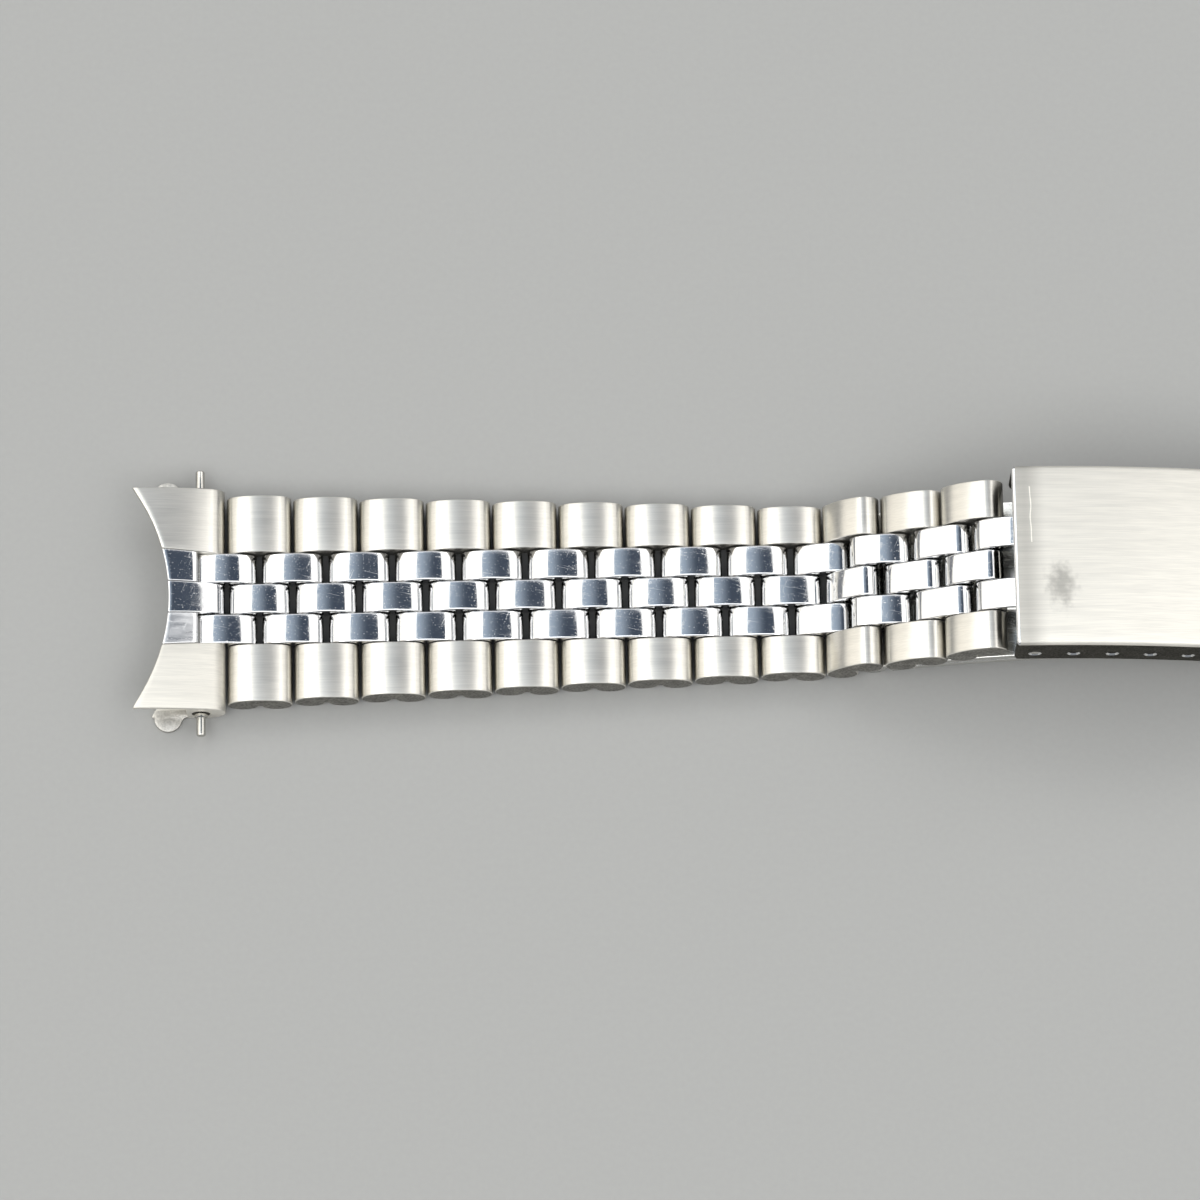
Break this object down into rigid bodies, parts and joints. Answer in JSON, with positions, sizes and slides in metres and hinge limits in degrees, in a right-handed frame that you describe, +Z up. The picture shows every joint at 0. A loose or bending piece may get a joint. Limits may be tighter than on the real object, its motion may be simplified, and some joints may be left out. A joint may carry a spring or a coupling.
{
  "type": "watch bracelet",
  "caption": "Metal link bracelet for a wristwatch, with polished inner rows, brushed outer links, curved end pieces on spring bars and a fold-over clasp with adjusting holes.",
  "frame": {"origin": "on the table, under the middle of the whole bracelet's bounding box", "axes": "+X along the bracelet from its long half to its short half, +Y across it, +Z up, out of the links' outer faces; the bracelet lies open at full length with its clasp folded shut"},
  "size_m": [0.1632, 0.024, 0.0126],
  "materials": {
    "brushed_steel": "brushed",
    "link_steel": "brushed outer links, polished middle link",
    "polished_steel": "polished",
    "blade_steel": "fine brushed",
    "pin_steel": "turned",
    "spring_steel": "drawn wire"
  },
  "bodies": {
    "cover": {"clasp_cover": "brushed_steel", "cover_hinge_pin": "pin_steel", "clasp_bar_tube": "pin_steel", "clasp_bar_spring": "spring_steel"},
    "clasp_tip_near": {"clasp_bar_tip_near": "pin_steel"},
    "clasp_tip_far": {"clasp_bar_tip_far": "pin_steel"},
    "upper_blade": {"upper_blade": "blade_steel"},
    "lower_blade": {"lower_blade": "blade_steel", "fold_hinge_pin": "pin_steel", "attaching_pin": "pin_steel"},
    "long_bead_pair_12": {"long_bead_pair_12": "polished_steel"},
    "long_link_12": {"long_link_12": "link_steel"},
    "long_bead_pair_11": {"long_bead_pair_11": "polished_steel"},
    "long_link_11": {"long_link_11": "link_steel"},
    "long_bead_pair_10": {"long_bead_pair_10": "polished_steel"},
    "long_link_10": {"long_link_10": "link_steel"},
    "long_bead_pair_09": {"long_bead_pair_09": "polished_steel"},
    "long_link_09": {"long_link_09": "link_steel"},
    "long_bead_pair_08": {"long_bead_pair_08": "polished_steel"},
    "long_link_08": {"long_link_08": "link_steel"},
    "long_bead_pair_07": {"long_bead_pair_07": "polished_steel"},
    "long_link_07": {"long_link_07": "link_steel"},
    "long_bead_pair_06": {"long_bead_pair_06": "polished_steel"},
    "long_link_06": {"long_link_06": "link_steel"},
    "long_bead_pair_05": {"long_bead_pair_05": "polished_steel"},
    "long_link_05": {"long_link_05": "link_steel"},
    "long_bead_pair_04": {"long_bead_pair_04": "polished_steel"},
    "long_link_04": {"long_link_04": "link_steel"},
    "long_bead_pair_03": {"long_bead_pair_03": "polished_steel"},
    "long_link_03": {"long_link_03": "link_steel"},
    "long_bead_pair_02": {"long_bead_pair_02": "polished_steel"},
    "long_link_02": {"long_link_02": "link_steel"},
    "long_bead_pair_01": {"long_bead_pair_01": "polished_steel"},
    "long_link_01": {"long_link_01": "link_steel"},
    "long_bead_pair_00": {"long_bead_pair_00": "polished_steel"},
    "long_end": {"long_end_piece": "brushed_steel", "long_bar_tube": "pin_steel", "long_bar_spring": "spring_steel"},
    "long_tip_near": {"long_bar_tip_near": "pin_steel"},
    "long_tip_far": {"long_bar_tip_far": "pin_steel"},
    "short_bead_pair_07": {"short_bead_pair_07": "polished_steel"},
    "short_link_07": {"short_link_07": "link_steel"},
    "short_bead_pair_06": {"short_bead_pair_06": "polished_steel"},
    "short_link_06": {"short_link_06": "link_steel"},
    "short_bead_pair_05": {"short_bead_pair_05": "polished_steel"},
    "short_link_05": {"short_link_05": "link_steel"},
    "short_bead_pair_04": {"short_bead_pair_04": "polished_steel"},
    "short_link_04": {"short_link_04": "link_steel"},
    "short_bead_pair_03": {"short_bead_pair_03": "polished_steel"},
    "short_link_03": {"short_link_03": "link_steel"},
    "short_bead_pair_02": {"short_bead_pair_02": "polished_steel"},
    "short_link_02": {"short_link_02": "link_steel"},
    "short_bead_pair_01": {"short_bead_pair_01": "polished_steel"},
    "short_link_01": {"short_link_01": "link_steel"},
    "short_bead_pair_00": {"short_bead_pair_00": "polished_steel"},
    "short_end": {"short_end_piece": "brushed_steel", "short_bar_tube": "pin_steel", "short_bar_spring": "spring_steel"},
    "short_tip_near": {"short_bar_tip_near": "pin_steel"},
    "short_tip_far": {"short_bar_tip_far": "pin_steel"}
  },
  "joints": [
    {"name": "clasp_tip_near_slide", "type": "slide", "parent": "cover", "child": "clasp_tip_near", "axis": [0, 1, 0], "range_m": [0, 0.00085], "stiffness_N_per_m": 400},
    {"name": "clasp_tip_far_slide", "type": "slide", "parent": "cover", "child": "clasp_tip_far", "axis": [0, -1, 0], "range_m": [0, 0.00085], "stiffness_N_per_m": 400},
    {"name": "cover_hinge", "type": "hinge", "parent": "cover", "child": "upper_blade", "pos_m": [0.02519, 0, 0.0044], "axis": [0, -1, 0], "range_deg": [0, 60]},
    {"name": "fold_hinge", "type": "hinge", "parent": "upper_blade", "child": "lower_blade", "pos_m": [-0.01726, 0, 0.0012], "axis": [0, 1, 0], "range_deg": [0, 150]},
    {"name": "long_bead_pair_12_pivot", "type": "hinge", "parent": "cover", "child": "long_bead_pair_12", "pos_m": [-0.00376, 0, 0.00953], "axis": [0, 1, 0], "range_deg": [-1, 24]},
    {"name": "long_link_12_pivot", "type": "hinge", "parent": "long_bead_pair_12", "child": "long_link_12", "pos_m": [-0.00735, 0, 0.00863], "axis": [0, -1, 0], "range_deg": [-50, 2]},
    {"name": "long_bead_pair_11_pivot", "type": "hinge", "parent": "long_link_12", "child": "long_bead_pair_11", "pos_m": [-0.00989, 0, 0.00723], "axis": [0, 1, 0], "range_deg": [-2, 36]},
    {"name": "long_link_11_pivot", "type": "hinge", "parent": "long_bead_pair_11", "child": "long_link_11", "pos_m": [-0.01245, 0, 0.00586], "axis": [0, -1, 0], "range_deg": [-34, 3]},
    {"name": "long_bead_pair_10_pivot", "type": "hinge", "parent": "long_link_11", "child": "long_bead_pair_10", "pos_m": [-0.01506, 0, 0.00459], "axis": [0, 1, 0], "range_deg": [-5, 20]},
    {"name": "long_link_10_pivot", "type": "hinge", "parent": "long_bead_pair_10", "child": "long_link_10", "pos_m": [-0.01793, 0, 0.00419], "axis": [0, -1, 0], "range_deg": [-72, 7]},
    {"name": "long_bead_pair_09_pivot", "type": "hinge", "parent": "long_link_10", "child": "long_bead_pair_09", "pos_m": [-0.02001, 0, 0.00217], "axis": [0, 1, 0], "range_deg": [-70, 8]},
    {"name": "long_link_09_pivot", "type": "hinge", "parent": "long_bead_pair_09", "child": "long_link_09", "pos_m": [-0.0228, 0, 0.00137], "axis": [0, -1, 0], "range_deg": [-22, 60]},
    {"name": "long_bead_pair_08_pivot", "type": "hinge", "parent": "long_link_09", "child": "long_bead_pair_08", "pos_m": [-0.0257, 0, 0.00137], "axis": [0, 1, 0], "range_deg": [-45, 40]},
    {"name": "long_link_08_pivot", "type": "hinge", "parent": "long_bead_pair_08", "child": "long_link_08", "pos_m": [-0.0286, 0, 0.00137], "axis": [0, -1, 0], "range_deg": [-40, 45]},
    {"name": "long_bead_pair_07_pivot", "type": "hinge", "parent": "long_link_08", "child": "long_bead_pair_07", "pos_m": [-0.0315, 0, 0.00137], "axis": [0, 1, 0], "range_deg": [-45, 40]},
    {"name": "long_link_07_pivot", "type": "hinge", "parent": "long_bead_pair_07", "child": "long_link_07", "pos_m": [-0.0344, 0, 0.00137], "axis": [0, -1, 0], "range_deg": [-40, 45]},
    {"name": "long_bead_pair_06_pivot", "type": "hinge", "parent": "long_link_07", "child": "long_bead_pair_06", "pos_m": [-0.0373, 0, 0.00137], "axis": [0, 1, 0], "range_deg": [-45, 40]},
    {"name": "long_link_06_pivot", "type": "hinge", "parent": "long_bead_pair_06", "child": "long_link_06", "pos_m": [-0.0402, 0, 0.00137], "axis": [0, -1, 0], "range_deg": [-40, 45]},
    {"name": "long_bead_pair_05_pivot", "type": "hinge", "parent": "long_link_06", "child": "long_bead_pair_05", "pos_m": [-0.0431, 0, 0.00137], "axis": [0, 1, 0], "range_deg": [-45, 40]},
    {"name": "long_link_05_pivot", "type": "hinge", "parent": "long_bead_pair_05", "child": "long_link_05", "pos_m": [-0.046, 0, 0.00137], "axis": [0, -1, 0], "range_deg": [-40, 45]},
    {"name": "long_bead_pair_04_pivot", "type": "hinge", "parent": "long_link_05", "child": "long_bead_pair_04", "pos_m": [-0.0489, 0, 0.00137], "axis": [0, 1, 0], "range_deg": [-45, 40]},
    {"name": "long_link_04_pivot", "type": "hinge", "parent": "long_bead_pair_04", "child": "long_link_04", "pos_m": [-0.0518, 0, 0.00137], "axis": [0, -1, 0], "range_deg": [-40, 45]},
    {"name": "long_bead_pair_03_pivot", "type": "hinge", "parent": "long_link_04", "child": "long_bead_pair_03", "pos_m": [-0.0547, 0, 0.00137], "axis": [0, 1, 0], "range_deg": [-45, 40]},
    {"name": "long_link_03_pivot", "type": "hinge", "parent": "long_bead_pair_03", "child": "long_link_03", "pos_m": [-0.0576, 0, 0.00137], "axis": [0, -1, 0], "range_deg": [-40, 45]},
    {"name": "long_bead_pair_02_pivot", "type": "hinge", "parent": "long_link_03", "child": "long_bead_pair_02", "pos_m": [-0.0605, 0, 0.00137], "axis": [0, 1, 0], "range_deg": [-45, 40]},
    {"name": "long_link_02_pivot", "type": "hinge", "parent": "long_bead_pair_02", "child": "long_link_02", "pos_m": [-0.0634, 0, 0.00137], "axis": [0, -1, 0], "range_deg": [-40, 45]},
    {"name": "long_bead_pair_01_pivot", "type": "hinge", "parent": "long_link_02", "child": "long_bead_pair_01", "pos_m": [-0.0663, 0, 0.00137], "axis": [0, 1, 0], "range_deg": [-45, 40]},
    {"name": "long_link_01_pivot", "type": "hinge", "parent": "long_bead_pair_01", "child": "long_link_01", "pos_m": [-0.0692, 0, 0.00137], "axis": [0, -1, 0], "range_deg": [-40, 45]},
    {"name": "long_bead_pair_00_pivot", "type": "hinge", "parent": "long_link_01", "child": "long_bead_pair_00", "pos_m": [-0.0721, 0, 0.00137], "axis": [0, 1, 0], "range_deg": [-45, 40]},
    {"name": "long_end_pivot", "type": "hinge", "parent": "long_bead_pair_00", "child": "long_end", "pos_m": [-0.0758, 0, 0.00137], "axis": [0, -1, 0], "range_deg": [-10, 45]},
    {"name": "long_tip_near_slide", "type": "slide", "parent": "long_end", "child": "long_tip_near", "axis": [0, 1, 0], "range_m": [0, 0.002], "stiffness_N_per_m": 400},
    {"name": "long_tip_far_slide", "type": "slide", "parent": "long_end", "child": "long_tip_far", "axis": [0, -1, 0], "range_m": [0, 0.002], "stiffness_N_per_m": 400},
    {"name": "short_bead_pair_07_pivot", "type": "hinge", "parent": "lower_blade", "child": "short_bead_pair_07", "pos_m": [0.0315, 0, 0.00137], "axis": [0, -1, 0], "range_deg": [-45, 40]},
    {"name": "short_link_07_pivot", "type": "hinge", "parent": "short_bead_pair_07", "child": "short_link_07", "pos_m": [0.0344, 0, 0.00137], "axis": [0, 1, 0], "range_deg": [-40, 45]},
    {"name": "short_bead_pair_06_pivot", "type": "hinge", "parent": "short_link_07", "child": "short_bead_pair_06", "pos_m": [0.0373, 0, 0.00137], "axis": [0, -1, 0], "range_deg": [-45, 40]},
    {"name": "short_link_06_pivot", "type": "hinge", "parent": "short_bead_pair_06", "child": "short_link_06", "pos_m": [0.0402, 0, 0.00137], "axis": [0, 1, 0], "range_deg": [-40, 45]},
    {"name": "short_bead_pair_05_pivot", "type": "hinge", "parent": "short_link_06", "child": "short_bead_pair_05", "pos_m": [0.0431, 0, 0.00137], "axis": [0, -1, 0], "range_deg": [-45, 40]},
    {"name": "short_link_05_pivot", "type": "hinge", "parent": "short_bead_pair_05", "child": "short_link_05", "pos_m": [0.046, 0, 0.00137], "axis": [0, 1, 0], "range_deg": [-40, 45]},
    {"name": "short_bead_pair_04_pivot", "type": "hinge", "parent": "short_link_05", "child": "short_bead_pair_04", "pos_m": [0.0489, 0, 0.00137], "axis": [0, -1, 0], "range_deg": [-45, 40]},
    {"name": "short_link_04_pivot", "type": "hinge", "parent": "short_bead_pair_04", "child": "short_link_04", "pos_m": [0.0518, 0, 0.00137], "axis": [0, 1, 0], "range_deg": [-40, 45]},
    {"name": "short_bead_pair_03_pivot", "type": "hinge", "parent": "short_link_04", "child": "short_bead_pair_03", "pos_m": [0.0547, 0, 0.00137], "axis": [0, -1, 0], "range_deg": [-45, 40]},
    {"name": "short_link_03_pivot", "type": "hinge", "parent": "short_bead_pair_03", "child": "short_link_03", "pos_m": [0.0576, 0, 0.00137], "axis": [0, 1, 0], "range_deg": [-40, 45]},
    {"name": "short_bead_pair_02_pivot", "type": "hinge", "parent": "short_link_03", "child": "short_bead_pair_02", "pos_m": [0.0605, 0, 0.00137], "axis": [0, -1, 0], "range_deg": [-45, 40]},
    {"name": "short_link_02_pivot", "type": "hinge", "parent": "short_bead_pair_02", "child": "short_link_02", "pos_m": [0.0634, 0, 0.00137], "axis": [0, 1, 0], "range_deg": [-40, 45]},
    {"name": "short_bead_pair_01_pivot", "type": "hinge", "parent": "short_link_02", "child": "short_bead_pair_01", "pos_m": [0.0663, 0, 0.00137], "axis": [0, -1, 0], "range_deg": [-45, 40]},
    {"name": "short_link_01_pivot", "type": "hinge", "parent": "short_bead_pair_01", "child": "short_link_01", "pos_m": [0.0692, 0, 0.00137], "axis": [0, 1, 0], "range_deg": [-40, 45]},
    {"name": "short_bead_pair_00_pivot", "type": "hinge", "parent": "short_link_01", "child": "short_bead_pair_00", "pos_m": [0.0721, 0, 0.00137], "axis": [0, -1, 0], "range_deg": [-45, 40]},
    {"name": "short_end_pivot", "type": "hinge", "parent": "short_bead_pair_00", "child": "short_end", "pos_m": [0.0758, 0, 0.00137], "axis": [0, 1, 0], "range_deg": [-10, 45]},
    {"name": "short_tip_near_slide", "type": "slide", "parent": "short_end", "child": "short_tip_near", "axis": [0, 1, 0], "range_m": [0, 0.002], "stiffness_N_per_m": 400},
    {"name": "short_tip_far_slide", "type": "slide", "parent": "short_end", "child": "short_tip_far", "axis": [0, -1, 0], "range_m": [0, 0.002], "stiffness_N_per_m": 400}
  ]
}
